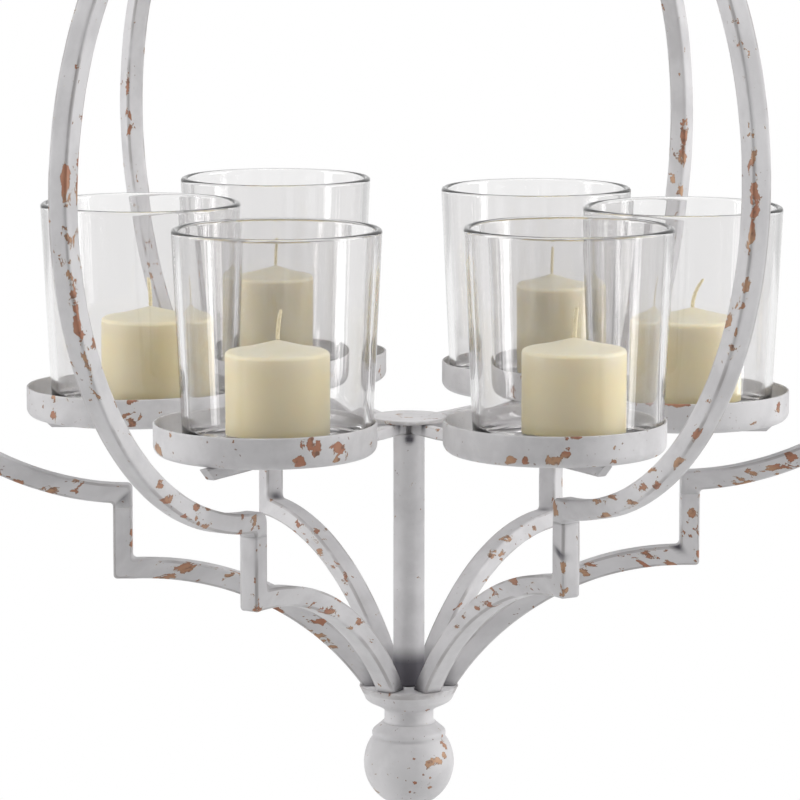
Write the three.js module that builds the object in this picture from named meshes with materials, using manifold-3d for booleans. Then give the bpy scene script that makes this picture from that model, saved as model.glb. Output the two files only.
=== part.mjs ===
// A hanging holder for six candles: a cage of six bowed bars on a small turned hub, six glasses on trays.
// Millimetres, +Z up. The origin is where a hook carries the ring at the top, and the cage hangs below it.
import * as THREE from 'three';
import { mergeVertices } from 'three/addons/utils/BufferGeometryUtils.js';
import Module from 'manifold-3d';

const wasm = await Module();
wasm.setup();

// Driving dimensions. Heights are measured up from the plane where the lower bars stand on the lower cup.
const GAP = 0.3; // clearance between touching pieces
const FRAME_HEIGHT = 519; // from the lower cup's rim to the upper cup's rim

// Square bar of the cage
const BAR_WIDTH = 9.5; // across the plane of its bend
const BAR_DEPTH = 9.2; // in the plane of its bend
const FOOT_RADIUS = 22.6; // where the lower edge of a bar meets the cup
const ARC_RISE = 61.5; // lower edge of the bar's crown above its foot
const NOTCH_RADIUS = 137; // middle of the upright bar of the notch
const BOW_END_HEIGHT = 102.5; // middle of the bow's lower end
const BOW_REACH = 287.5; // outermost face of a bow from the axis

// Post, rod and the plate that carries the trays
const POST_RADIUS = 7.5;
const POST_WALL = 1.75;
const ROD_RADIUS = 3;
const ROD_CLEARANCE = 0.3;
const ARM_LIFT = 28.5; // upper face of the tray arms above the middle of the bow's lower end
const ARM_HEIGHT = 5.5;
const ARM_WIDTH = 4.5;
const ARM_START = 5.6; // inner end of a tray arm from the axis
const ARM_DIP = 2.2; // how much lower it lies at the post
const ARM_BEND = 28; // where it starts to slope to its tray
const ARM_LEVEL = 80; // where it is level again
const ARM_END = 171; // outer end of its lower edge
const ARM_BEVEL = 6; // how much further its upper edge reaches
const PLATE_RADIUS = 19;
const PLATE_THICKNESS = 1.8;

// Lower cup and finial
const CUP_RADIUS = 23.9;
const CUP_RIM = 6; // height of its slanting rim
const CUP_SHOULDER = 21.3; // radius under the rim
const CUP_CURVE = 7; // height of the curve from the shoulder to the neck
const CUP_HEIGHT = 18.4;
const NECK_RADIUS = 11.9;
const COLLAR_RADIUS = 17.9; // the collar on top of the ball
const COLLAR_HEIGHT = 7.3;
const COLLAR_BEVEL = 4;
const BALL_RADIUS = 21.8;
const ROD_DEPTH = 14; // how far the rod goes into the ball

// Trays
const TRAY_RING = 131; // tray centres from the axis
const TRAY_RADIUS = 50.8;
const TRAY_HEIGHT = 14.6;
const TRAY_WALL = 1.1;
const TRAY_CORNER = 4.5;

// Glasses
const GLASS_RIM_RADIUS = 47.6;
const GLASS_BASE_RADIUS = 43;
const GLASS_HEIGHT = 101;
const GLASS_WALL = 3.3;
const GLASS_BASE = 6.5;
const GLASS_CORNER = 3;

// Candles
const CANDLE_RADIUS = 23.7;
const CANDLE_HEIGHT = 38.5; // up to its shoulder
const CANDLE_CROWN = 4.8; // rise from the shoulder to the wick
const CANDLE_CORNER = 1.5;
const WICK_RADIUS = 1;
const WICK_LENGTH = 13.5;

// Eye bolt, link and ring
const EYE_RADIUS = 13; // middle of the wire
const EYE_WIRE = 4;
const EYE_COLLAR_RADIUS = 10;
const EYE_COLLAR_HEIGHT = 4;
const NUT_RADIUS = 8.5;
const NUT_HEIGHT = 6;
const LINK_RADIUS = 10;
const LINK_STRAIGHT = 16;
const LINK_WIRE = 3;
const RING_RADIUS = 25;
const RING_WIRE = 3.5;

// The six stations, made and laid by hand. swing is how many degrees the bars stand off the tray's azimuth.
// lift is how far they are bent up at the notch, and out is how far the notch is bent outwards. rise is how
// far the tray arm is bent up, and extra is how much longer it is. trayShift, glassShift and candleShift are
// sideways places along X. tall is a candle's extra height, and lean is how far its wick tip bends.
const STATIONS = [
  {
    name: 'right', azimuth: 0, swing: 1, lift: -2.8, out: -2, rise: -1.7, extra: 0,
    trayShift: 0, glassShift: -0.6, candleShift: 4.8, tall: 2.3, lean: 5,
  },
  {
    name: 'back_right', azimuth: 60, swing: -0.8, lift: -5.5, out: 4, rise: -3.6, extra: 0,
    trayShift: 2, glassShift: -3.7, candleShift: 6.2, tall: 7.2, lean: 0.5,
  },
  {
    name: 'back_left', azimuth: 120, swing: 1.4, lift: 1.5, out: -2.5, rise: 1.5, extra: 0,
    trayShift: 3.2, glassShift: -4.7, candleShift: -0.5, tall: 6.3, lean: 1,
  },
  {
    name: 'left', azimuth: 180, swing: 1.5, lift: -8.5, out: 0.4, rise: 0.2, extra: 0,
    trayShift: -1.2, glassShift: 4.4, candleShift: 4.5, tall: 1, lean: -1,
  },
  {
    name: 'front_left', azimuth: 240, swing: -0.8, lift: -2, out: 0.6, rise: -0.3, extra: 5,
    trayShift: 0.4, glassShift: 5.6, candleShift: 0.1, tall: 0.4, lean: 1.5,
  },
  {
    name: 'front_right', azimuth: 300, swing: 0.9, lift: 4.4, out: 1.6, rise: 0.6, extra: 0,
    trayShift: 0.5, glassShift: 5.9, candleShift: 2.7, tall: 0.6, lean: 1,
  },
];

// How finely curves are cut
const ARC_STEPS = 12; // along a lower bar's arc
const BOW_STEPS = 24; // along half an ellipse
const CURVE_STEPS = 6; // along a turned curve
const CORNER_STEPS = 3; // round a small corner
const BALL_STEPS = 11;
const HUB_SEGMENTS = 24; // round the hub's turned pieces
const ROD_SEGMENTS = 12;
const PLATE_SEGMENTS = 32;
const TRAY_SEGMENTS = 30; // round trays and glasses
const CANDLE_SEGMENTS = 20;
const WICK_SEGMENTS = 6;
const WIRE_SEGMENTS = 8; // round the wire of a loop
const LOOP_SEGMENTS = 24; // along the eye and the link
const RING_SEGMENTS = 32;
const NUT_SIDES = 6;
const WELD_TOLERANCE = 1e-4; // joins a mesh's corners before a boolean

// Heights and radii that follow from the dimensions above
const armTop = BOW_END_HEIGHT + ARM_LIFT;
const armTopAtPost = armTop - ARM_DIP;
const trayBottom = armTop + GAP;
const glassBottom = trayBottom + TRAY_WALL + GAP;
const candleBottom = glassBottom + GLASS_BASE + GAP;
const ballTop = -CUP_HEIGHT - GAP;
const upperCupRim = FRAME_HEIGHT + GAP;
const eyeCollarBottom = upperCupRim + CUP_HEIGHT + GAP;
const eyeCentre = eyeCollarBottom + EYE_COLLAR_HEIGHT + EYE_RADIUS;
const linkBottom = eyeCentre + EYE_RADIUS - EYE_WIRE - GAP - LINK_WIRE;
const linkCentre = linkBottom + LINK_RADIUS + LINK_STRAIGHT / 2;
const linkTop = linkCentre + LINK_RADIUS + LINK_STRAIGHT / 2;
const ringBottom = linkTop - LINK_WIRE - GAP - RING_WIRE;
const ringCentre = ringBottom + RING_RADIUS;
const hookHeight = ringCentre + RING_RADIUS - RING_WIRE;

// Colours
const paint = { color: 0xcfccce, roughness: 0.6, metalness: 0.1 };
const clearGlass = { color: 0xe4ebe8, roughness: 0.05, metalness: 0, transparent: true, opacity: 0.35 };
const wax = { color: 0xe0d8bc, roughness: 0.55, metalness: 0 };
const cotton = { color: 0xd9cfae, roughness: 0.9, metalness: 0 };

const object = new THREE.Group();
object.position.z = -hookHeight;

function addMesh(name, geometry, look, place = [0, 0, 0], turn = 0) {
  const mesh = new THREE.Mesh(geometry, new THREE.MeshStandardMaterial(look));
  mesh.name = name;
  mesh.position.set(...place);
  mesh.rotation.z = THREE.MathUtils.degToRad(turn);
  object.add(mesh);
  return mesh;
}

// A turned piece from a profile of [radius, height] points, running up its outside
function turned(profile, segments) {
  const points = profile.map(([radius, height]) => new THREE.Vector2(radius, height));
  return new THREE.LatheGeometry(points, segments).rotateX(Math.PI / 2);
}

// A bar or plate cut from an outline of [radius, height] points, standing in the plane of X and Z
function cutBar(outline, width) {
  const shape = new THREE.Shape(outline.map(([radius, height]) => new THREE.Vector2(radius, height)));
  const geometry = new THREE.ExtrudeGeometry(shape, { depth: width, bevelEnabled: false });
  return geometry.rotateX(Math.PI / 2).translate(0, width / 2, 0);
}

// Points on an ellipse between two angles in degrees, counted from the outward direction
function ellipsePoints(centre, halfWidth, halfHeight, from, to, steps) {
  const points = [];
  for (let i = 0; i <= steps; i += 1) {
    const angle = THREE.MathUtils.degToRad(from + ((to - from) * i) / steps);
    points.push([centre[0] + halfWidth * Math.cos(angle), centre[1] + halfHeight * Math.sin(angle)]);
  }
  return points;
}

// Booleans
function toSolid(geometry) {
  const bare = geometry.clone();
  bare.deleteAttribute('normal');
  bare.deleteAttribute('uv');
  const merged = mergeVertices(bare, WELD_TOLERANCE);
  const vertProperties = Float32Array.from(merged.attributes.position.array);
  const triVerts = Uint32Array.from(merged.index.array);
  return new wasm.Manifold(new wasm.Mesh({ numProp: 3, vertProperties, triVerts }));
}

function toGeometry(solid) {
  const mesh = solid.getMesh();
  const geometry = new THREE.BufferGeometry();
  geometry.setAttribute('position', new THREE.BufferAttribute(mesh.vertProperties, 3));
  geometry.setIndex(new THREE.BufferAttribute(mesh.triVerts, 1));
  geometry.computeVertexNormals();
  return geometry;
}

// Cage: a lower bar rises from the cup in an arc and turns up at the notch
function armOutline(lift, out) {
  const notch = NOTCH_RADIUS + out;
  const notchInner = notch - BAR_DEPTH / 2;
  const notchOuter = notch + BAR_DEPTH / 2;
  const span = notch - FOOT_RADIUS;
  const lowerRadius = (span ** 2 + ARC_RISE ** 2) / (2 * ARC_RISE);
  const upperRadius = lowerRadius + BAR_DEPTH;
  const centre = [notch, ARC_RISE - lowerRadius];
  const footAngle = (radius) => 180 - THREE.MathUtils.radToDeg(Math.asin(-centre[1] / radius));
  const notchAngle = THREE.MathUtils.radToDeg(Math.acos((notchInner - notch) / upperRadius));
  const notchTop = BOW_END_HEIGHT - BAR_DEPTH / 2 - GAP;
  const outline = [
    ...ellipsePoints(centre, lowerRadius, lowerRadius, footAngle(lowerRadius), 90, ARC_STEPS),
    [notchOuter, ARC_RISE],
    [notchOuter, notchTop],
    [notchInner, notchTop],
    ...ellipsePoints(centre, upperRadius, upperRadius, notchAngle, footAngle(upperRadius), ARC_STEPS),
  ];
  return outline.map(([radius, height]) => {
    const share = THREE.MathUtils.clamp((radius - FOOT_RADIUS) / (notchInner - FOOT_RADIUS), 0, 1);
    return [radius, height + lift * share];
  });
}

function upsideDown(outline) {
  return outline.map(([radius, height]) => [radius, FRAME_HEIGHT - height]).reverse();
}

// Cage: the bow is half an ellipse from the lower notch round to the upper notch
function bowOutline(lift, out) {
  const start = NOTCH_RADIUS + out - BAR_DEPTH / 2;
  const half = BAR_DEPTH / 2;
  const centre = [start, FRAME_HEIGHT / 2 + lift];
  const reach = BOW_REACH - half - start;
  const halfHeight = FRAME_HEIGHT / 2 - BOW_END_HEIGHT;
  return [
    ...ellipsePoints(centre, reach + half, halfHeight + half, -90, 90, BOW_STEPS),
    ...ellipsePoints(centre, reach - half, halfHeight - half, 90, -90, BOW_STEPS),
  ];
}

for (const { name, azimuth, swing, lift, out } of STATIONS) {
  const turn = azimuth + swing;
  const upperOutline = upsideDown(armOutline(-lift, out));
  addMesh(`lower_bar_${name}`, cutBar(armOutline(lift, out), BAR_WIDTH), paint, [0, 0, 0], turn);
  addMesh(`bow_${name}`, cutBar(bowOutline(lift, out), BAR_WIDTH), paint, [0, 0, 0], turn);
  addMesh(`upper_bar_${name}`, cutBar(upperOutline, BAR_WIDTH), paint, [0, 0, 0], turn);
}

// Lower cup: a slanting rim, a curve like a wave down to the neck, and the neck itself
function cupProfile(bore) {
  const curve = [];
  for (let i = 0; i <= CURVE_STEPS; i += 1) {
    const share = i / CURVE_STEPS;
    const radius = NECK_RADIUS + ((CUP_SHOULDER - NECK_RADIUS) * (1 + Math.cos(Math.PI * share))) / 2;
    curve.push([radius, -CUP_RIM - CUP_CURVE * share]);
  }
  return [
    [bore, -CUP_HEIGHT],
    [NECK_RADIUS, -CUP_HEIGHT],
    ...curve.reverse(),
    [CUP_RADIUS, -GAP],
    [bore, -GAP],
    [bore, -CUP_HEIGHT],
  ];
}

const rodBore = ROD_RADIUS + ROD_CLEARANCE;
const collarBottom = ballTop - COLLAR_HEIGHT;
const ballCentre = collarBottom - Math.sqrt(BALL_RADIUS ** 2 - COLLAR_RADIUS ** 2);
const collarAngle = THREE.MathUtils.radToDeg(Math.acos(COLLAR_RADIUS / BALL_RADIUS));
const ballProfile = [
  ...ellipsePoints([0, ballCentre], BALL_RADIUS, BALL_RADIUS, -90, collarAngle, BALL_STEPS),
  [COLLAR_RADIUS, ballTop - COLLAR_BEVEL],
  [NECK_RADIUS, ballTop],
  [rodBore, ballTop],
  [rodBore, ballTop - ROD_DEPTH],
  [0, ballTop - ROD_DEPTH],
];
const postTop = armTopAtPost - ARM_HEIGHT - GAP;
const postBore = POST_RADIUS - POST_WALL;
const postProfile = [
  [postBore, 0],
  [POST_RADIUS, 0],
  [POST_RADIUS, postTop],
  [postBore, postTop],
  [postBore, 0],
];
const rodBottom = ballTop - ROD_DEPTH + GAP;
const rodTop = armTopAtPost;
const rodProfile = [
  [0, rodBottom],
  [ROD_RADIUS, rodBottom],
  [ROD_RADIUS, rodTop],
  [0, rodTop],
];

addMesh('lower_cup', turned(cupProfile(rodBore), HUB_SEGMENTS), paint);
addMesh('finial_ball', turned(ballProfile, HUB_SEGMENTS), paint);
addMesh('post_tube', turned(postProfile, HUB_SEGMENTS), paint);
addMesh('tie_rod', turned(rodProfile, ROD_SEGMENTS), paint);

// Tray arms and the round plate over their inner ends
function trayArmOutline(rise, extra) {
  const armBottom = armTop - ARM_HEIGHT;
  return [
    [ARM_START, armBottom - ARM_DIP],
    [ARM_BEND, armBottom - ARM_DIP],
    [ARM_LEVEL, armBottom + rise],
    [ARM_END + extra, armBottom + rise],
    [ARM_END + extra + ARM_BEVEL, armTop + rise],
    [ARM_LEVEL, armTop + rise],
    [ARM_BEND, armTopAtPost],
    [ARM_START, armTopAtPost],
  ];
}

for (const { name, azimuth, rise, extra } of STATIONS) {
  const outline = trayArmOutline(rise, extra);
  addMesh(`tray_arm_${name}`, cutBar(outline, ARM_WIDTH), paint, [0, 0, 0], azimuth);
}
const plateBottom = armTopAtPost + GAP;
const plateTop = plateBottom + PLATE_THICKNESS;
const plateProfile = [[0, plateBottom], [PLATE_RADIUS, plateBottom], [PLATE_RADIUS, plateTop], [0, plateTop]];
addMesh('hub_plate', turned(plateProfile, PLATE_SEGMENTS), paint);

// Trays, glasses and candles, each drawn with its underside at height zero
const trayBend = [TRAY_RADIUS - TRAY_CORNER, TRAY_CORNER];
const trayProfile = [
  [0, 0],
  ...ellipsePoints(trayBend, TRAY_CORNER, TRAY_CORNER, -90, 0, CORNER_STEPS),
  [TRAY_RADIUS, TRAY_HEIGHT],
  [TRAY_RADIUS - TRAY_WALL, TRAY_HEIGHT],
  ...ellipsePoints(trayBend, TRAY_CORNER - TRAY_WALL, TRAY_CORNER - TRAY_WALL, 0, -90, CORNER_STEPS),
  [0, TRAY_WALL],
];
const glassTaper = (GLASS_RIM_RADIUS - GLASS_BASE_RADIUS) / (GLASS_HEIGHT - GLASS_CORNER);
const glassFloorRadius = GLASS_BASE_RADIUS + glassTaper * (GLASS_BASE - GLASS_CORNER) - GLASS_WALL;
const glassBend = [GLASS_BASE_RADIUS - GLASS_CORNER, GLASS_CORNER];
const halfWall = GLASS_WALL / 2;
const glassRim = [GLASS_RIM_RADIUS - halfWall, GLASS_HEIGHT - halfWall];
const glassProfile = [
  [0, 0],
  ...ellipsePoints(glassBend, GLASS_CORNER, GLASS_CORNER, -90, 0, CORNER_STEPS),
  ...ellipsePoints(glassRim, halfWall, halfWall, 0, 180, CORNER_STEPS),
  [glassFloorRadius, GLASS_BASE + GLASS_CORNER],
  [glassFloorRadius - GLASS_CORNER, GLASS_BASE],
  [0, GLASS_BASE],
];

function candleProfile(tall) {
  const shoulder = CANDLE_HEIGHT + tall;
  return [
    [0, 0],
    [CANDLE_RADIUS - CANDLE_CORNER, 0],
    [CANDLE_RADIUS, CANDLE_CORNER],
    [CANDLE_RADIUS, shoulder - CANDLE_CORNER],
    [CANDLE_RADIUS - CANDLE_CORNER, shoulder],
    [WICK_RADIUS, shoulder + CANDLE_CROWN],
    [0, shoulder + CANDLE_CROWN],
  ];
}

function wickShape(lean) {
  const rod = new THREE.CylinderGeometry(WICK_RADIUS, WICK_RADIUS, WICK_LENGTH, WICK_SEGMENTS, CORNER_STEPS);
  rod.rotateX(Math.PI / 2).translate(0, 0, WICK_LENGTH / 2);
  const position = rod.attributes.position;
  for (let i = 0; i < position.count; i += 1) {
    position.setX(i, position.getX(i) + lean * (position.getZ(i) / WICK_LENGTH) ** 2);
  }
  return rod;
}

for (const { name, azimuth, rise, trayShift, glassShift, candleShift, tall, lean } of STATIONS) {
  const angle = THREE.MathUtils.degToRad(azimuth);
  const trayX = TRAY_RING * Math.cos(angle) + trayShift;
  const glassX = trayX + glassShift;
  const candleX = glassX + candleShift;
  const y = TRAY_RING * Math.sin(angle);
  const wickBottom = candleBottom + CANDLE_HEIGHT + tall + CANDLE_CROWN + GAP;
  addMesh(`tray_${name}`, turned(trayProfile, TRAY_SEGMENTS), paint, [trayX, y, trayBottom + rise]);
  addMesh(`glass_${name}`, turned(glassProfile, TRAY_SEGMENTS), clearGlass, [glassX, y, glassBottom + rise]);
  const candle = turned(candleProfile(tall), CANDLE_SEGMENTS);
  addMesh(`candle_${name}`, candle, wax, [candleX, y, candleBottom + rise]);
  addMesh(`wick_${name}`, wickShape(lean), cotton, [candleX, y, wickBottom + rise]);
}

// Upper cup, eye bolt and its nut
const eyeBore = EYE_WIRE + ROD_CLEARANCE;
const upperCup = turned(cupProfile(eyeBore), HUB_SEGMENTS).rotateX(Math.PI);
addMesh('upper_cup', upperCup, paint, [0, 0, FRAME_HEIGHT]);

const shankBottom = FRAME_HEIGHT - NUT_HEIGHT - EYE_WIRE;
const shankTop = eyeCollarBottom + EYE_COLLAR_HEIGHT;
const eyeShankProfile = [
  [0, shankBottom],
  [EYE_WIRE, shankBottom],
  [EYE_WIRE, eyeCollarBottom],
  [EYE_COLLAR_RADIUS, eyeCollarBottom],
  [EYE_COLLAR_RADIUS - EYE_COLLAR_HEIGHT / 2, shankTop],
  [0, shankTop],
];
const eyeShank = turned(eyeShankProfile, HUB_SEGMENTS);
const eyeLoop = new THREE.TorusGeometry(EYE_RADIUS, EYE_WIRE, WIRE_SEGMENTS, LOOP_SEGMENTS);
eyeLoop.rotateX(Math.PI / 2).translate(0, 0, eyeCentre);
addMesh('eye_bolt', toGeometry(toSolid(eyeLoop).add(toSolid(eyeShank))), paint);

const nutShape = new THREE.Shape();
for (let corner = 0; corner < NUT_SIDES; corner += 1) {
  const angle = (corner * 2 * Math.PI) / NUT_SIDES;
  const point = [NUT_RADIUS * Math.cos(angle), NUT_RADIUS * Math.sin(angle)];
  if (corner === 0) nutShape.moveTo(...point);
  else nutShape.lineTo(...point);
}
nutShape.holes.push(new THREE.Path().absarc(0, 0, eyeBore, 0, 2 * Math.PI, true));
const nutCut = { depth: NUT_HEIGHT, bevelEnabled: false, curveSegments: ROD_SEGMENTS };
const nut = new THREE.ExtrudeGeometry(nutShape, nutCut);
addMesh('eye_nut', nut, paint, [0, 0, FRAME_HEIGHT - NUT_HEIGHT]);

// Link and ring. The link is a round loop drawn apart at its middle to make its straight sides.
function linkShape() {
  const loop = new THREE.TorusGeometry(LINK_RADIUS, LINK_WIRE, WIRE_SEGMENTS, LOOP_SEGMENTS);
  loop.rotateZ(Math.PI / LOOP_SEGMENTS);
  const position = loop.attributes.position;
  for (let i = 0; i < position.count; i += 1) {
    position.setY(i, position.getY(i) + (Math.sign(position.getY(i)) * LINK_STRAIGHT) / 2);
  }
  return loop.rotateX(Math.PI / 2).rotateZ(Math.PI / 2);
}

addMesh('chain_link', linkShape(), paint, [0, 0, linkCentre]);
const ringShape = new THREE.TorusGeometry(RING_RADIUS, RING_WIRE, WIRE_SEGMENTS, RING_SEGMENTS);
ringShape.rotateX(Math.PI / 2);
addMesh('hanging_ring', ringShape, paint, [0, 0, ringCentre]);

export default object;
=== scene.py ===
"""Looks of the hanging candle holder: painted and chipped bars, thick clear glasses, ivory candles.

Lengths in the script are millimetres, and heights count up from the lower cup's rim, as in the model.
to_frame() turns such a point into the frame's metres.
"""
import math

import bpy
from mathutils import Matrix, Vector, noise


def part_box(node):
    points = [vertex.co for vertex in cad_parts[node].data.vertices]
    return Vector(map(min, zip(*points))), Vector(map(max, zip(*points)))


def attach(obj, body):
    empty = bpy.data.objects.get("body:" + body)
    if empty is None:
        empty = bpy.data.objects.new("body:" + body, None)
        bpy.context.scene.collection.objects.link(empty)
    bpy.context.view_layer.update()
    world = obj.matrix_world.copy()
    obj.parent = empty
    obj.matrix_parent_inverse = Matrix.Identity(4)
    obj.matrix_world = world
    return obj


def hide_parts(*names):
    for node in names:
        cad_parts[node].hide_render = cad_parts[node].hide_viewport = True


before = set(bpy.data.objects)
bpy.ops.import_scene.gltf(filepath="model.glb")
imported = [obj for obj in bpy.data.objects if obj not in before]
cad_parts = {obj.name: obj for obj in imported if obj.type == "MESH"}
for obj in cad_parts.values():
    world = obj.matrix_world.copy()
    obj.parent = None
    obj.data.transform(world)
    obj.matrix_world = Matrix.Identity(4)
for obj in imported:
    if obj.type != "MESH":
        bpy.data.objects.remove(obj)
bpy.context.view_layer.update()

# Sizes of the model
FRAME_HEIGHT = 519.0
GAP = 0.3
BAR_WIDTH = 9.5
BAR_DEPTH = 9.2
FOOT_RADIUS = 22.6
ARC_RISE = 61.5
NOTCH_RADIUS = 137.0
BOW_END_HEIGHT = 102.5
BOW_REACH = 287.5
ARM_TOP = 131.0
ARM_HEIGHT = 5.5
ARM_WIDTH = 4.5
ARM_START = 5.6
ARM_DIP = 2.2
ARM_BEND = 28.0
ARM_LEVEL = 80.0
ARM_END = 171.0
ARM_BEVEL = 6.0
TRAY_RADIUS = 50.8
TRAY_HEIGHT = 14.6
TRAY_WALL = 1.1
TRAY_CORNER = 4.5
GLASS_RIM_RADIUS = 47.6
GLASS_BASE_RADIUS = 43.0
GLASS_HEIGHT = 101.0
GLASS_WALL = 3.3
GLASS_BASE = 6.5
GLASS_CORNER = 3.0
CANDLE_RADIUS = 23.7
CANDLE_CROWN = 4.8
WICK_RADIUS = 1.0
WICK_LENGTH = 13.5
HAND_MADE = 0.12  # unevenness of the painted pieces
THIN_BAR = 0.08  # the same for the tray arms
POURED = 0.25  # and for the wax
HOOK_HEIGHT = -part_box("lower_cup")[1].z * 1000 - GAP

# The six stations: azimuth of the tray, how many degrees the bars stand off it, how far the notch is bent up
# and outwards, how far the tray arm is bent up, how much longer it is, and how far the wick's tip leans
STATIONS = {
    "right": (0, 1.0, -2.8, -2.0, -1.7, 0.0, 5.0),
    "back_right": (60, -0.8, -5.5, 4.0, -3.6, 0.0, 0.5),
    "back_left": (120, 1.4, 1.5, -2.5, 1.5, 0.0, 1.0),
    "left": (180, 1.5, -8.5, 0.4, 0.2, 0.0, -1.0),
    "front_left": (240, -0.8, -2.0, 0.6, -0.3, 5.0, 1.5),
    "front_right": (300, 0.9, 4.4, 1.6, 0.6, 0.0, 1.0),
}

# Camera, worked out from the six trays and rims: a little above the trays, looking slightly down. The aim's
# length is the focal length, in pixels of a picture this many pixels wide.
CAMERA_DISTANCE = 2020.3
CAMERA_HEIGHT = 437.5
CAMERA_AIM = (-9.0, 4218.2, -624.0)
PICTURE = 800.0
SENSOR = 36.0

UP = Vector((0, 0, 1))


def to_frame(point):
    return Vector((point[0], point[1], point[2] - HOOK_HEIGHT)) / 1000


def make_camera():
    data = bpy.data.cameras.new("camera")
    camera = bpy.data.objects.new("camera", data)
    bpy.context.scene.collection.objects.link(camera)
    camera.location = to_frame((0, -CAMERA_DISTANCE, CAMERA_HEIGHT))
    aim = Vector(CAMERA_AIM)
    camera.rotation_euler = aim.to_track_quat("-Z", "Y").to_euler()
    data.sensor_width = SENSOR
    data.lens = aim.length * SENSOR / PICTURE
    data.clip_end = 50
    bpy.context.scene.camera = camera


make_camera()


class Nodes:
    """Short ways to build the node tree of a material or of the world."""

    def __init__(self, owner, output="ShaderNodeOutputMaterial"):
        owner.use_nodes = True
        self.tree = owner.node_tree
        self.tree.nodes.clear()
        self.output = self.tree.nodes.new(output)

    def add(self, kind, sockets=None, **settings):
        """A new node. sockets holds what to set or to link, by the socket's name or number."""
        node = self.tree.nodes.new(kind)
        for key, value in settings.items():
            setattr(node, key, value)
        for key, value in (sockets or {}).items():
            if isinstance(value, bpy.types.NodeSocket):
                self.tree.links.new(value, node.inputs[key])
            else:
                node.inputs[key].default_value = value
        return node

    def finish(self, node):
        self.tree.links.new(node.outputs[0], self.output.inputs["Surface"])

    def math(self, operation, *values, clamp=False):
        settings = {"operation": operation, "use_clamp": clamp}
        return self.add("ShaderNodeMath", dict(enumerate(values)), **settings).outputs[0]

    def ramp(self, value, low, high, out_low=0.0, out_high=1.0):
        sockets = {"Value": value, "From Min": low, "From Max": high, "To Min": out_low, "To Max": out_high}
        return self.add("ShaderNodeMapRange", sockets, interpolation_type="SMOOTHSTEP").outputs["Result"]

    def written(self, name, output="Fac"):
        """A number or, by the output Vector, a place that is written on the mesh."""
        return self.add("ShaderNodeAttribute", attribute_name=name).outputs[output]

    def place(self, attribute=None, stretch=(1, 1, 1)):
        """A place to read noise at: a vector written on the mesh, or else the piece's own coordinates."""
        if attribute:
            source = self.written(attribute, "Vector")
        else:
            source = self.add("ShaderNodeTexCoord").outputs["Object"]
        return self.add("ShaderNodeMapping", {"Vector": source, "Scale": stretch}).outputs["Vector"]

    def noise(self, scale, detail=3.0, roughness=0.5, distortion=0.0, place=None):
        sockets = {"Vector": place or self.place(), "Scale": scale, "Detail": detail}
        sockets |= {"Roughness": roughness, "Distortion": distortion}
        return self.add("ShaderNodeTexNoise", sockets).outputs["Fac"]

    def mix(self, factor, first, second):
        """Mixes two colours, each an output or three numbers."""
        first, second = ((*value, 1.0) if isinstance(value, tuple) else value for value in (first, second))
        return self.add("ShaderNodeMix", {0: factor, 6: first, 7: second}, data_type="RGBA").outputs[2]

    def blend(self, factor, first, second):
        """Mixes two shaders."""
        return self.add("ShaderNodeMixShader", {"Fac": factor, 1: first.outputs[0], 2: second.outputs[0]})

    def bump(self, height, distance, strength):
        sockets = {"Height": height, "Distance": distance, "Strength": strength}
        return self.add("ShaderNodeBump", sockets).outputs["Normal"]


def new_material(name):
    material = bpy.data.materials.new(name)
    return material, Nodes(material)


# Colours, in linear light
PAINT = (0.65, 0.64, 0.65)
PAINT_SHADE = (0.55, 0.54, 0.55)
TAN = (0.42, 0.25, 0.15)
RUST = (0.34, 0.15, 0.09)
BROWN = (0.17, 0.09, 0.06)
# Painted highlight on the rims of the chips
CHIP_RIM_HIGHLIGHT = (0.72, 0.68, 0.58)
# Painted shade along the rounded edges of the bars
EDGE_SHADE = (0.26, 0.235, 0.23)
# Painted shade, near black: in the nooks where the bars meet on a cup, at welds and under the hub plate
DEEP_SHADE = (0.035, 0.03, 0.045)
WAX = (0.55, 0.515, 0.40)
WAX_DEEP = (0.60, 0.52, 0.31)
COTTON = (0.78, 0.70, 0.50)
GLASS_TINT = (0.89, 0.885, 0.885, 1.0)

# Paint: how much more easily it chips at a rounded edge, how soft a chip's edge is, and its depth in metres
EDGE_SHARE = 0.035
CHIP_EDGE = 0.014
CHIP_DEPTH = 0.00015


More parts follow.
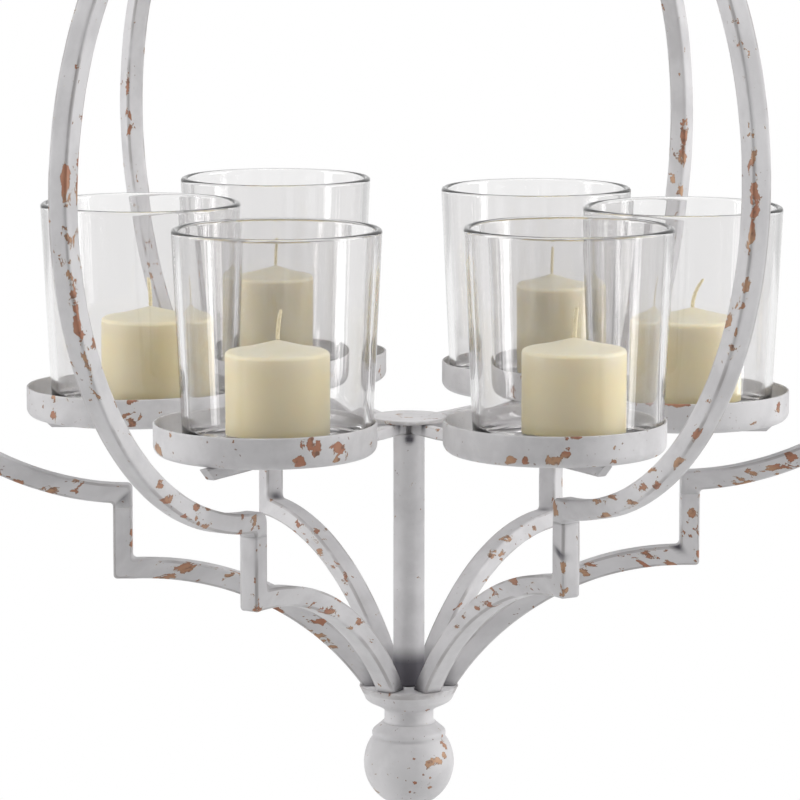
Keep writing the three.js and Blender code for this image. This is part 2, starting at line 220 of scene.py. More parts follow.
def paint_material(name, chip_level, worn_share, scale=150.0, written=True):
    """Matt off-white paint over a copper-brown undercoat.

    Chips open where ragged noise and the worn places written on the mesh add up. The noise is read along the
    grain, a straightened place written on the mesh, so that chips follow a bar as it bends.
    """
    material, n = new_material(name)
    wear = n.written("wear")
    grain = n.place("grain" if written else None)
    blotches = n.noise(scale, detail=6.0, roughness=0.62, distortion=0.4, place=grain)
    score = n.math("ADD", blotches, n.math("MULTIPLY", wear, EDGE_SHARE))
    score = n.math("ADD", score, n.math("MULTIPLY", n.written("worn"), worn_share))
    chips = n.ramp(score, chip_level, chip_level + CHIP_EDGE)
    lip = n.math("SUBTRACT", n.ramp(score, chip_level - 0.02, chip_level + 0.004), chips)
    middle = n.ramp(score, chip_level, chip_level + 0.05)
    specks = n.ramp(n.noise(420.0, detail=2.0, place=grain), 0.70, 0.73)
    specks = n.math("MULTIPLY", specks, n.ramp(n.noise(34.0, detail=1.0, place=grain), 0.42, 0.6))

    patina = n.mix(n.ramp(n.noise(60.0, detail=2.0, place=grain), 0.4, 0.6), TAN, RUST)
    undercoat = n.mix(middle, BROWN, patina)
    undercoat = n.mix(n.ramp(n.noise(330.0, detail=3.0, place=grain), 0.5, 0.75), undercoat, BROWN)
    strokes = n.noise(48.0, detail=5.0, roughness=0.6, place=grain)
    brushed = n.mix(n.ramp(strokes, 0.36, 0.68), PAINT, PAINT_SHADE)
    # Painted shade: a dark line along the rounded edges of the bars
    ridge_shade = n.math("MULTIPLY", n.ramp(wear, 0.86, 1.0), n.ramp(n.noise(60.0, place=grain), 0.4, 0.6))
    brushed = n.mix(n.math("MULTIPLY", ridge_shade, 0.5), brushed, EDGE_SHADE)
    # Painted highlight: a light rim around each chip
    brushed = n.mix(n.math("MULTIPLY", lip, 0.5), brushed, CHIP_RIM_HIGHLIGHT)
    speckled = n.mix(n.math("MULTIPLY", specks, 0.8), brushed, BROWN)
    colour = n.mix(chips, speckled, undercoat)
    # Painted shade, written on the mesh: near black in the nooks on the cups, at welds and under the hub
    # plate
    colour = n.mix(n.written("painted_shade"), colour, DEEP_SHADE)

    fine = n.math("MULTIPLY", n.noise(520.0, detail=4.0, roughness=0.6), 0.25)
    height = n.math("SUBTRACT", fine, chips)
    n.finish(n.add("ShaderNodeBsdfPrincipled", {
        "Base Color": colour,
        "Roughness": n.ramp(chips, 0, 1, 0.6, 0.45),
        "Metallic": n.math("MULTIPLY", chips, 0.2),
        "Normal": n.bump(height, CHIP_DEPTH, 0.7)}))
    return material


def glass_material():
    """Clear glass that lets the lamps through to the candle."""
    material, n = new_material("clear_glass")
    ripples = n.noise(28.0, detail=1.0, place=n.place(stretch=(1, 1, 0.3)))
    glass = n.add("ShaderNodeBsdfPrincipled", {
        "Base Color": GLASS_TINT,
        "Transmission Weight": 1.0,
        "IOR": 1.45,
        "Roughness": n.ramp(n.noise(60.0, detail=3.0), 0.3, 0.8, 0.0, 0.03),
        "Normal": n.bump(ripples, 0.0006, 0.25)})
    clear = n.add("ShaderNodeBsdfTransparent", {"Color": (0.93, 0.93, 0.93, 1)})
    n.finish(n.blend(n.add("ShaderNodeLightPath").outputs["Is Shadow Ray"], glass, clear))
    return material


def wax_material():
    """Soft ivory wax, warmer where the mesh says that it is deep."""
    material, n = new_material("ivory_wax")
    mottle = n.ramp(n.noise(45.0, detail=4.0), 0.35, 0.75, 0.0, 0.3)
    deep = n.math("ADD", n.written("deep"), mottle, clamp=True)
    n.finish(n.add("ShaderNodeBsdfPrincipled", {
        "Base Color": n.mix(deep, WAX, WAX_DEEP),
        "Roughness": n.ramp(n.noise(90.0, detail=3.0), 0.3, 0.7, 0.42, 0.6),
        "Subsurface Weight": 0.85,
        "Subsurface Radius": (1.0, 0.75, 0.45),
        "Subsurface Scale": 0.012,
        "Normal": n.bump(n.noise(180.0, detail=4.0), 0.0003, 0.35)}))
    return material


def cotton_material():
    material, n = new_material("waxed_cotton")
    n.finish(n.add("ShaderNodeBsdfPrincipled", {
        "Base Color": n.mix(n.ramp(n.noise(900.0, detail=3.0), 0.3, 0.7), COTTON, WAX_DEEP),
        "Roughness": 0.8,
        "Normal": n.bump(n.noise(1500.0, detail=2.0), 0.0003, 0.6)}))
    return material


bar_paint = paint_material("chipped_paint_bars", 0.67, 0.21, scale=190.0)
pan_paint = paint_material("chipped_paint_pans", 0.67, 0.26)
turned_paint = paint_material("chipped_paint_turned", 0.67, 0.25)
loop_paint = paint_material("chipped_paint_loops", 0.65, 0.0, written=False)
clear_glass = glass_material()
ivory_wax = wax_material()
waxed_cotton = cotton_material()


# Pieces from meshes
def add_piece(name, vertices, faces, material, body, node, values=None):
    """values holds numbers or vectors to write on the mesh for the materials, one for each vertex."""
    mesh = bpy.data.meshes.new(name)
    mesh.from_pydata([tuple(v) for v in vertices], [], faces)
    mesh.validate()
    for key, data in (values or {}).items():
        if isinstance(data[0], float):
            mesh.attributes.new(key, "FLOAT", "POINT").data.foreach_set("value", data)
        else:
            flat = [part for vector in data for part in vector]
            mesh.attributes.new(key, "FLOAT_VECTOR", "POINT").data.foreach_set("vector", flat)
    mesh.polygons.foreach_set("use_smooth", [polygon.loop_total <= 4 for polygon in mesh.polygons])
    mesh.materials.append(material)
    mesh.update()
    piece = bpy.data.objects.new(name, mesh)
    bpy.context.scene.collection.objects.link(piece)
    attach(piece, body)
    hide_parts(node)


def seed_of(name):
    """A place of its own in the noise for each piece."""
    return sum(ord(letter) * (index + 1) for index, letter in enumerate(name)) % 97 * 0.31


def uneven(point, normal, amount, size):
    """Moves a point in metres along its normal, by up to amount in dents of about size, in millimetres."""
    return point + normal * (amount / 1000) * noise.noise(point * (1000 / size))


# Curves, as lists of (radius, height) points
def along_ellipse(centre, half_width, half_height, start, end, steps):
    points = []
    for i in range(steps + 1):
        angle = math.radians(start + (end - start) * i / steps)
        points.append((centre[0] + half_width * math.cos(angle), centre[1] + half_height * math.sin(angle)))
    return points


def arc(centre_radius, centre_height, radius, start, end, steps):
    return along_ellipse((centre_radius, centre_height), radius, radius, start, end, steps)


def straight(start, end, steps):
    return [
        (start[0] + (end[0] - start[0]) * i / steps, start[1] + (end[1] - start[1]) * i / steps)
        for i in range(steps + 1)]


def spread(start, end, steps):
    """Points between two others, without its ends."""
    return straight(start, end, steps)[1:-1]


# Bars

# Chips are longer along a bar than across it, by the inverse of this
GRAIN_STRETCH = 0.75

# How far a mark reaches across a bar, in millimetres, and how fast it fades outwards
MARK_BREADTH = 3.4
MARK_FADE = 1.1

# Worn places: how many millimetres along the bar from its lower end, at which edge (the depth side, -1 under
# or outside and 1 above or inside, then the width side, 1 to the left seen from the middle), half its length,
# strength
BOW_WEAR = {
    "right": (
        (28, -0.8, -1, 9, 0.95), (41, -0.1, -1, 14, 1.12), (57, 0.3, -1, 4, 1), (66, -0.6, -1, 5, 0.84),
        (120, -1, -1, 14, 0.89), (190, -1, -0.6, 12, 0.89), (260, -1, -1, 12, 0.89)),
    "back_right": (
        (305, 0.3, -1, 14, 1.05), (271, 0.4, -1, 5, 0.89), (263, 0.2, -1, 6, 0.89),
        (230, 1, -0.8, 9, 1.05), (221, 1, -0.7, 6, 1.05), (222, 1, 0.8, 4, 0.84), (205, 1, 0.3, 4, 0.84),
        (201, 1, -0.9, 4, 0.84)),
    "back_left": (
        (281, 1, 0.9, 9, 1.07), (278, 1, -0.6, 6, 0.89), (268, 1, 0.9, 4, 0.84), (257, 1, 1, 9, 1.07),
        (238, 1, 1, 7, 0.84), (201, 0.2, 1, 4, 0.77), (152, 1, 1, 9, 0.95), (170, 1, 0.6, 6, 0.89)),
    "left": (
        (28, 0.5, 1, 3, 1.1), (33.5, 0.6, 1, 1.3, 1.0), (39, -1, 1, 6, 1.05), (52, -1, 1, 3, 1.05),
        (62, -1, 1, 3, 1.0), (150, -1, 1, 12, 0.9), (240, -1, 1, 14, 0.95)),
    "front_left": (
        (327, -1, 1, 10, 1.05), (325, -1, -1, 5, 0.84), (310, -1, 1, 7, 0.95), (302, -1, 0.2, 4, 0.87),
        (297, -1, 1, 5, 0.84), (264, -1, 1, 6, 1.05), (252, -0.9, 1, 8, 1.05), (248, 0.9, 1, 9, 1),
        (243, -1, 1, 8, 1.05), (226, -0.4, 1, 8, 0.92), (218, -0.9, 1, 5, 0.95), (213, -1, 1, 4, 0.89),
        (205, -1, 1, 4, 0.89), (190, -0.9, 1, 12, 1.14), (176, -1, 1, 8, 1.05), (178, 0.6, 1, 5, 0.95),
        (168, -1, 1, 4, 0.89), (156, -1, 1, 3, 0.77), (93, 0.1, 1, 5, 1.07), (83, -0.6, 1, 5, 0.89),
        (62, 0.7, 1, 5, 0.95), (54, 0.8, 1, 4, 0.95), (66, -0.6, 1, 6, 0.84), (51, -0.9, 1, 5, 0.97),
        (10, 0.0, 1, 5, 1.12), (20, -0.9, 1, 3, 0.89)),
    "front_right": (
        (322, 0.7, -1, 4, 0.89), (318, -1, 0.8, 8, 1.05), (307, -1, -0.6, 4, 0.77), (295, -1, -1, 4, 1),
        (272, -1, -0.7, 6, 1.3), (257, -0.8, -1, 7, 1.07), (243, -1, -1, 5, 0.92),
        (235, -1, -0.8, 4, 0.89), (225, -1, -1, 10, 1.1), (215, 0.2, -1, 6, 0.89), (201, -1, -1, 4, 0.89),
        (191, -0.8, -1, 4, 0.84), (183, 0.4, -1, 6, 0.87), (181, -1, -1, 4, 0.89), (173, -1, -1, 4, 0.89),
        (124, -1, -1, 6, 1), (104, -1, -1, 8, 0.92), (87, 0.9, -1, 6, 0.95), (76, 0.1, -1, 5, 1.07),
        (86, -0.6, -1, 5, 0.89), (65, -0.8, -1, 6, 0.97), (54, 0.8, -1, 4, 0.87), (40, 0.8, -1, 5, 0.89),
        (40, -0.9, -1, 5, 1.02), (4, 0.6, -0.8, 3, 1)),
}
BAR_WEAR = {
    "right": (
        (160, -0.1, -1, 2.6, 1.2), (154.5, 0.5, -1, 1.8, 1.05), (148.5, 0.3, -1, 2.2, 1.05),
        (143.5, -0.9, -1, 1.5, 1.05), (139.5, -0.8, -1, 1.5, 1.05), (128, 0.7, -1, 2, 1.05),
        (124, 0, -1, 3, 1.25), (124.5, -0.9, -1, 3, 1.2), (116, -0.5, -1, 3.6, 1.3),
        (112.5, 0.5, -1, 1.6, 1.0), (105.5, -0.2, -1, 1.3, 1), (96, 0.5, -1, 2.4, 1.15),
        (90, 0.2, -1, 2.6, 1.2)),
    "back_right": (
        (118, 0.2, -1, 4, 1.05), (112, -0.9, -1, 6, 0.92), (93, 1, -0.8, 5, 1.07),
        (85, -0.1, -1, 6, 1.05), (79, 1, -1, 4, 0.89), (78, -0.8, -1, 4, 0.84)),
    "back_left": (
        (104, 0.3, 1, 4, 0.89), (95, 0.3, 1, 4, 0.89), (90, 0.2, 1, 4, 0.95), (82, -0.2, 1, 6, 1.05),
        (67, 0.2, 1, 4, 1.02), (57, 0.2, 1, 4, 0.87), (60, 1, 0.8, 4, 0.87), (105, -1, 1, 4, 0.84)),
    "left": (
        (149, 0.9, 1, 3, 1.15), (154, 1, 1, 4, 0.95), (127, 0.4, 1, 1.6, 1.05), (116, 0.5, 1, 3.2, 1.15),
        (110, 0, 1, 3, 1.2), (113, -0.7, 1, 2.5, 1.1), (119, -0.8, 1, 1.6, 1.05), (91, 0.3, 1, 1.8, 1.1),
        (82, 0.3, 1, 1.5, 1.05), (62, -1, 1, 7, 0.97), (43, 0.3, 1, 3.5, 1.05), (37, -0.9, 1, 5, 1.07),
        (28, -1, 1, 4, 0.9)),
    "front_left": (
        (139, -0.6, 1, 3, 1), (147, -1, 1, 5, 0.84), (98, -0.7, 1, 6, 0.84), (84, -0.7, 1, 6, 0.89),
        (80, 0.9, 1, 3, 0.89), (55, 0.4, 1, 5, 1.12), (57, -0.7, 1, 5, 0.95), (39, 0.0, 1, 5, 0.95),
        (70, -0.8, 1, 4, 0.89)),
    "front_right": (
        (158, -1, -1, 4, 1.02), (147, -1, -1, 5, 1.07), (113, 0.6, -1, 4, 1.05), (106, -0.4, -1, 4, 0.95),
        (92, 0.1, -1, 5, 1.07), (82, -0.2, -1, 4, 1.02), (74, -0.1, -1, 4, 0.95), (61, 0.0, -1, 4.5, 1.1),
        (52, -0.2, -1, 4, 0.97), (80, 1, -1, 5, 0.89), (121, -0.7, -1, 3, 0.89)),
}

# Painted shade, given in the same way: dark spots at the welds where bars meet, on two tray arms under the
# hub plate, and a small hole painted dark
SHADE_MARKS = {
    "lower_bar_back_left": ((141, 1.2, 0, 2.6, 0.95),),
    "lower_bar_back_right": ((141, 1.2, 0, 2.6, 0.9),),
    "lower_bar_right": ((138.5, 1.2, -0.9, 2.0, 1.3),),
    "lower_bar_front_right": ((162.3, -0.35, -1.05, 1.5, 1.4),),
    "bow_left": ((4, 0.1, 1.2, 1.3, 0.8),),
    "tray_arm_front_left": ((8, 0.6, 0.5, 1.3, 1.3),),
    "tray_arm_front_right": ((12, 0.6, -0.5, 1.3, 1.3),),
}

# Painted shade in the nook between the bars on a cup
NOOK_SHADE_RADIUS = 14.0
NOOK_SHADE_HEIGHT = 24.0
SHADE_FADE = 9.0
NOOK_SHADE = 0.9
DARKEST_SHADE = 0.95

# Rounded corners of a bar's section and where a bar turns, all in millimetres
BAR_EDGE = 1.0
ARM_EDGE = 0.6
CORNER_STEPS = 6
CROWN_ROUND = 1.8
CROWN_FILLET = 2.2
SHOULDER_ROUND = 3.2
OWN_SHOULDER_ROUND = {"front_left": 5.0, "left": 2.6, "right": 2.4}
SHOULDER_FILLET = 1.7

# How far beyond its middle a bow keeps its own marks. Its upper half has those of the bow across from it too.
OWN_MARKS = 20


def bar_section(depth, width, corner, flat_steps):
    """A rectangle with rounded corners, as (depth, width, wear) points."""
    half_depth = depth / 2 - corner
    half_width = width / 2 - corner
    corners = ((1, 1, 0), (-1, 1, 90), (-1, -1, 180), (1, -1, 270))
    section = []
    for index, (sign_depth, sign_width, start) in enumerate(corners):
        for step in range(3):
            angle = math.radians(start + 45 * step)
            section.append((
                sign_depth * half_depth + corner * math.cos(angle),
                sign_width * half_width + corner * math.sin(angle),
                1.0))
        following = corners[(index + 1) % 4]
        begin = section[-1]
        angle = math.radians(following[2])
        end = (
            following[0] * half_depth + corner * math.cos(angle),
            following[1] * half_width + corner * math.sin(angle))
        for step in range(1, flat_steps):
            share = step / flat_steps
            wear = abs(2 * share - 1) ** 2 * 0.6
            section.append((
                begin[0] + (end[0] - begin[0]) * share,
                begin[1] + (end[1] - begin[1]) * share,
                wear))
    return section


def marked(marks, along, depth, width):
    """How strongly a place on a bar is marked, from 0 to 1, by marks as in the lists of worn places."""
    most = 0.0
    for middle, depth_side, width_side, reach, strength in marks:
        if abs(along - middle) > 2 * reach:
            continue
        apart = ((along - middle) / reach) ** 2
        apart += ((depth - depth_side * BAR_DEPTH / 2) / MARK_BREADTH) ** 2
        apart += ((width - width_side * BAR_WIDTH / 2) / MARK_BREADTH) ** 2
        most = max(most, strength * math.exp(-MARK_FADE * apart))
    return most


def swept_bar(name, rails, azimuth, section, size, roughness=HAND_MADE, worn=(), shade_marks=()):
    """A bar between two rails of (radius, height) points in the upright plane at an azimuth.

    size is the section's depth, which is stretched to the distance between the rails.
    """
    turn = math.radians(azimuth)
    outward = Vector((math.cos(turn), math.sin(turn), 0))
    sideways = Vector((-math.sin(turn), math.cos(turn), 0))
    vertices = []
    values = {"wear": [], "grain": [], "painted_shade": [], "worn": []}
    travelled = 0
    before = None
    for low, high in rails:
        across = Vector((high[0] - low[0], high[1] - low[1])).normalized()
        middle = Vector((high[0] + low[0], high[1] + low[1])) / 2
        if before is not None:
            travelled += (middle - before).length
        before = middle
        for depth, width, edge in section:
            share = 0.5 + depth / size
            radius = low[0] + (high[0] - low[0]) * share
            height = low[1] + (high[1] - low[1]) * share
            point = to_frame((0, 0, height)) + (outward * radius + sideways * width) / 1000
            side = (outward * across.x + UP * across.y) * depth + sideways * width
            vertices.append(uneven(point, side.normalized(), roughness, 14))
            values["wear"].append(edge)
            along = travelled * GRAIN_STRETCH / 1000 + seed_of(name)
            values["grain"].append((along, depth / 1000, width / 1000))
            # Painted shade: in the nook on a cup and at the shade marks
            painted_shade = max(nook_shade_at(radius, height), marked(shade_marks, travelled, depth, width))
            values["painted_shade"].append(min(DARKEST_SHADE, painted_shade))
            values["worn"].append(marked(worn, travelled, depth, width))
    count = len(section)
    faces = []
    for ring in range(len(rails) - 1):
        for k in range(count):
            a = ring * count + k
            b = ring * count + (k + 1) % count
            faces.append((a, b, b + count, a + count))
    faces.append(tuple(reversed(range(count))))
    faces.append(tuple(range((len(rails) - 1) * count, len(rails) * count)))
    return vertices, faces, values


def nook_shade_at(radius, height):
    """Painted shade deep in the nook where the bars stand together on a cup."""
    from_cup = min(height, FRAME_HEIGHT - height)
    nook = max(0.0, 1 - max(0.0, radius - NOOK_SHADE_RADIUS) / SHADE_FADE)
    return nook * max(0.0, min(1.0, (NOOK_SHADE_HEIGHT - from_cup) / SHADE_FADE)) * NOOK_SHADE


def lower_bar_rails(lift, out):
    """The lower and upper edge of a lower bar: an arc from the cup, a corner, and the upright end."""
    notch = NOTCH_RADIUS + out
    inner = notch - BAR_DEPTH / 2
    outer = notch + BAR_DEPTH / 2
    span = notch - FOOT_RADIUS
    low_radius = (span ** 2 + ARC_RISE ** 2) / (2 * ARC_RISE)
    high_radius = low_radius + BAR_DEPTH
    centre = (notch, ARC_RISE - low_radius)

    def foot(radius):
        return 180 - math.degrees(math.asin(-centre[1] / radius))

    low_end = 90 - math.degrees(math.asin((outer - CROWN_ROUND - notch) / low_radius))
    high_end = 90 + math.degrees(math.asin((notch - inner + CROWN_FILLET) / high_radius))
    low = arc(*centre, low_radius, foot(low_radius), low_end, 36)
    high = arc(*centre, high_radius, foot(high_radius), high_end, 36)
    low += arc(outer - CROWN_ROUND, low[-1][1] + CROWN_ROUND, CROWN_ROUND, -90, 0, CORNER_STEPS)[1:]
    high += arc(inner - CROWN_FILLET, high[-1][1] + CROWN_FILLET, CROWN_FILLET, -90, 0, CORNER_STEPS)[1:]
    top = BOW_END_HEIGHT - BAR_DEPTH / 2 - SHOULDER_FILLET
    low += straight(low[-1], (outer, top), 18)[1:]
    high += straight(high[-1], (inner, top), 18)[1:]

    def bent(point):
        share = min(max((point[0] - FOOT_RADIUS) / (inner - FOOT_RADIUS), 0), 1)
        return (point[0], point[1] + lift * share)

    return [(bent(a), bent(b)) for a, b in zip(low, high)]


def bow_rails(lift, out, corner):
    """The outer and inner edge of a bow: half an ellipse with a rounded corner at either end."""
    half = BAR_DEPTH / 2
    inner = NOTCH_RADIUS + out - half
    outer = inner + BAR_DEPTH
    reach = BOW_REACH - half - inner
    half_height = FRAME_HEIGHT / 2 - BOW_END_HEIGHT
    wide = (reach + half, half_height + half)
    narrow = (reach - half, half_height - half)
    wide_start = -math.degrees(math.acos((outer + SHOULDER_FILLET - inner) / wide[0]))
    narrow_start = -math.degrees(math.acos(corner / narrow[0]))
    outside = along_ellipse((inner, 0), *wide, wide_start, 0, 90)
    inside = along_ellipse((inner, 0), *narrow, narrow_start, 0, 90)
    fillet = (outer + SHOULDER_FILLET, outside[0][1] - SHOULDER_FILLET)
    bend = (inner + corner, inside[0][1] - corner)
    start = -half_height - half - SHOULDER_FILLET
    outside = [(outer, start)] + arc(*fillet, SHOULDER_FILLET, 180, 90, CORNER_STEPS)[:-1] + outside
    inside = [(inner, start)] + arc(*bend, corner, 180, 90, CORNER_STEPS)[:-1] + inside
    lower_half = list(zip(outside, inside))
    upper_half = [((a[0], -a[1]), (b[0], -b[1])) for a, b in reversed(lower_half[:-1])]
    middle = FRAME_HEIGHT / 2 + lift
    return [((a[0], a[1] + middle), (b[0], b[1] + middle)) for a, b in lower_half + upper_half]


def upside_down(rails):
    return [((a[0], FRAME_HEIGHT - a[1]), (b[0], FRAME_HEIGHT - b[1])) for a, b in reversed(rails)]


def length_of(rails):
    middles = [(Vector(low) + Vector(high)) / 2 for low, high in rails]
    return sum((second - first).length for first, second in zip(middles, middles[1:]))


def turned_over(marks, length):
    """Marks of one bar for the other end of its twin."""
    return tuple((length - along, *rest) for along, *rest in marks)


def add_bars(place, azimuth, swing, lift, out):
    opposite = list(STATIONS)[(list(STATIONS).index(place) + 3) % len(STATIONS)]
    shape = bar_section(BAR_DEPTH, BAR_WIDTH, BAR_EDGE, 5)
    bow = bow_rails(lift, out, OWN_SHOULDER_ROUND.get(place, SHOULDER_ROUND))
    upper = upside_down(lower_bar_rails(-lift, out))
    middle = length_of(bow) / 2
    bow_wear = [mark for mark in BOW_WEAR[place] if mark[0] < middle + OWN_MARKS]
    bow_wear += turned_over([mark for mark in BOW_WEAR[opposite] if mark[0] < middle], length_of(bow))
    upper_wear = turned_over(BAR_WEAR[opposite], length_of(upper))
    for node, rails, worn in (
        (f"lower_bar_{place}", lower_bar_rails(lift, out), BAR_WEAR[place]),
        (f"bow_{place}", bow, bow_wear),
        (f"upper_bar_{place}", upper, upper_wear),
    ):
        shade_marks = SHADE_MARKS.get(node, ())
        vertices, faces, values = swept_bar(
            node, rails, azimuth + swing, shape, BAR_DEPTH, worn=worn, shade_marks=shade_marks)
        add_piece(f"painted_{node}", vertices, faces, bar_paint, "frame", node, values)


for place, (azimuth, swing, lift, out, *_) in STATIONS.items():
    add_bars(place, azimuth, swing, lift, out)


# Turned pieces
def turned(name, profile, segments, centre, wear=None, roughness=0.0, size=12):
    """Vertices, faces and values of a piece turned from (radius, height) points up its outside."""
    vertices = []
    rings = []
    values = {"wear": [], "grain": [], "painted_shade": [], "worn": []}
    seed = Vector((seed_of(name), 0, 0))
    for index, (radius, height) in enumerate(profile):
        middle = Vector((centre[0], centre[1], centre[2] + height)) / 1000
        ring = []
        for k in range(segments if radius > 1e-6 else 1):
            angle = math.tau * k / segments
            out = Vector((math.cos(angle), math.sin(angle), 0))
            point = middle + out * radius / 1000
            ring.append(len(vertices))
            vertices.append(uneven(point, out, roughness, size) if roughness and len(ring) > 1 else point)
            values["wear"].append(float(wear[index]) if wear else 0.0)
            values["grain"].append(point + seed)
            values["painted_shade"].append(0.0)
            values["worn"].append(0.0)
        rings.append(ring)
    faces = []
    for first, second in zip(rings, rings[1:]):
        if len(first) == 1 and len(second) == 1:
            continue
        for k in range(segments):
            following = (k + 1) % segments
            if len(first) == 1:
                faces.append((first[0], second[following], second[k]))
            elif len(second) == 1:
                faces.append((first[k], first[following], second[0]))
            else:
                faces.append((first[k], first[following], second[following], second[k]))
    return vertices, faces, values


def base_of(node):
    """Centre of a node's underside, in millimetres of the frame."""
    low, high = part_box(node)
    middle = (low + high) * 500
    return Vector((middle.x, middle.y, low.z * 1000))


# Trays
def tray_profile():
    outer = TRAY_RADIUS
    lip = TRAY_WALL / 2
    inner_corner = TRAY_CORNER - TRAY_WALL
    corner_radius = TRAY_RADIUS - TRAY_CORNER
    outside = [(0, 0), (20, 0), (38, 0)] + arc(corner_radius, TRAY_CORNER, TRAY_CORNER, -90, 0, 8)
    wall = spread((outer, TRAY_CORNER), (outer, TRAY_HEIGHT - lip), 6)
    rim = arc(outer - lip, TRAY_HEIGHT - lip, lip, 0, 180, 6)
    inside = spread((outer - TRAY_WALL, TRAY_HEIGHT - lip), (outer - TRAY_WALL, TRAY_CORNER), 6)
    floor = arc(corner_radius, TRAY_CORNER, inner_corner, 0, -90, 8)
    floor += [(38, TRAY_WALL), (20, TRAY_WALL), (0, TRAY_WALL)]
    return outside + wall + rim + inside + floor


def tray_wear(profile):
    values = []
    for radius, height in profile:
        lip = max(0, 1 - (TRAY_HEIGHT - height) / 2.5) if radius > TRAY_RADIUS - 3 else 0
        foot = max(0, 1 - abs(height - 1.6) / 2.5) if radius > TRAY_RADIUS - 4 else 0
        values.append(max(lip, foot, 0.25 if radius > TRAY_RADIUS - 2 else 0))
    return values


# Worn places on the trays: bearing in degrees, height, half its breadth in degrees, half its height, strength
TRAY_MARKS = {
    "right": (
        (-31, 8, 3, 4, 1.0), (-95, 14, 10, 1.2, 0.9), (-54, 6, 2, 2, 0.7), (60, 6, 8, 4, 0.9),
        (140, 13, 8, 3, 0.9)),
    "back_right": (
        (-120, 6, 6, 3, 0.8), (10, 4, 6, 3, 0.9), (100, 8, 9, 4, 1.0), (30, 13, 10, 2, 0.8)),
    "back_left": (
        (-60, 9, 5, 4, 0.8), (-20, 6, 5, 3, 0.9), (120, 7, 9, 4, 1.0), (75, 13, 8, 2, 0.8)),
    "left": (
        (-133.6, 13.5, 2.4, 1.2, 1.0), (-134.7, 5.3, 2.3, 1.8, 1.0), (-153.6, 7.8, 2, 0.9, 0.9),
        (-143.3, 10, 1.5, 0.8, 0.9), (-121, 9.5, 1.8, 1.5, 1.05), (-116.6, 4.9, 2, 1.1, 1.0),
        (-116, 0.6, 4, 0.6, 0.95), (-95.5, 13.6, 2.2, 0.8, 1.05), (-87, 13.6, 3.8, 0.9, 1.1),
        (-87.8, 3.6, 3.8, 3.2, 1.3), (-94, 9.5, 2.4, 1.6, 1.2), (-91, 7.5, 2.2, 2, 1.1),
        (-83, 6, 1, 1.6, 0.95), (90, 6, 9, 4, 0.9)),
    "front_left": (
        (-160, 4, 7, 3.5, 1.2), (-151, 8, 3, 2.5, 1.0), (-146, 12, 2, 1.5, 0.9),
        (-70.5, 4, 2.8, 5.5, 1.3), (-69, 11, 2.4, 3, 1.2), (-65, 11, 2.4, 3.5, 1.3),
        (-62, 8, 3.5, 3, 1.2), (-59.5, 11, 1.8, 3, 1.0), (-47, 8, 2.6, 3.5, 1.25), (-49, 3, 4, 2, 1.15),
        (-43, 4.5, 2.2, 3, 1.1), (-51.5, 9, 2, 1.2, 1.0), (-106, 0.8, 3, 0.8, 0.9), (80, 8, 9, 4, 1.0)),
    "front_right": (
        (-114, 4, 3, 3.5, 1.15), (-106.5, 3, 3.6, 3, 1.15), (-92.5, 4, 4.8, 2.6, 1.3),
        (-86, 7.3, 3.5, 3.5, 1.25), (-85, 9.5, 2, 2, 1.1), (-80, 14, 7, 1.0, 1.05),
        (-72.4, 6, 2.5, 2.5, 0.85), (-58, 8, 2.2, 1.2, 0.85), (-77, 0.8, 5, 0.8, 0.9),
        (110, 7, 9, 4, 1.0)),
}


def worn_by_bearing(vertices, centre, marks, least_radius):
    """The worn value of each vertex in metres, outside a radius in millimetres about an upright axis."""
    worn = []
    for vertex in vertices:
        x = vertex.x * 1000 - centre.x
        y = vertex.y * 1000 - centre.y
        height = vertex.z * 1000 - centre.z
        most = 0.0
        for bearing, level, breadth, reach, strength in marks if math.hypot(x, y) > least_radius else ():
            turn = (math.degrees(math.atan2(y, x)) - bearing + 180) % 360 - 180
            apart = (turn / breadth) ** 2 + ((height - level) / reach) ** 2
            most = max(most, strength * math.exp(-MARK_FADE * apart))
        worn.append(most)
    return worn


def add_tray(place):
    node = f"tray_{place}"
    profile = tray_profile()
    vertices, faces, values = turned(node, profile, 144, base_of(node), tray_wear(profile), HAND_MADE, 18)
    values["worn"] = worn_by_bearing(vertices, base_of(node), TRAY_MARKS[place], TRAY_RADIUS - 0.9)
    add_piece(f"painted_{node}", vertices, faces, pan_paint, "frame", node, values)


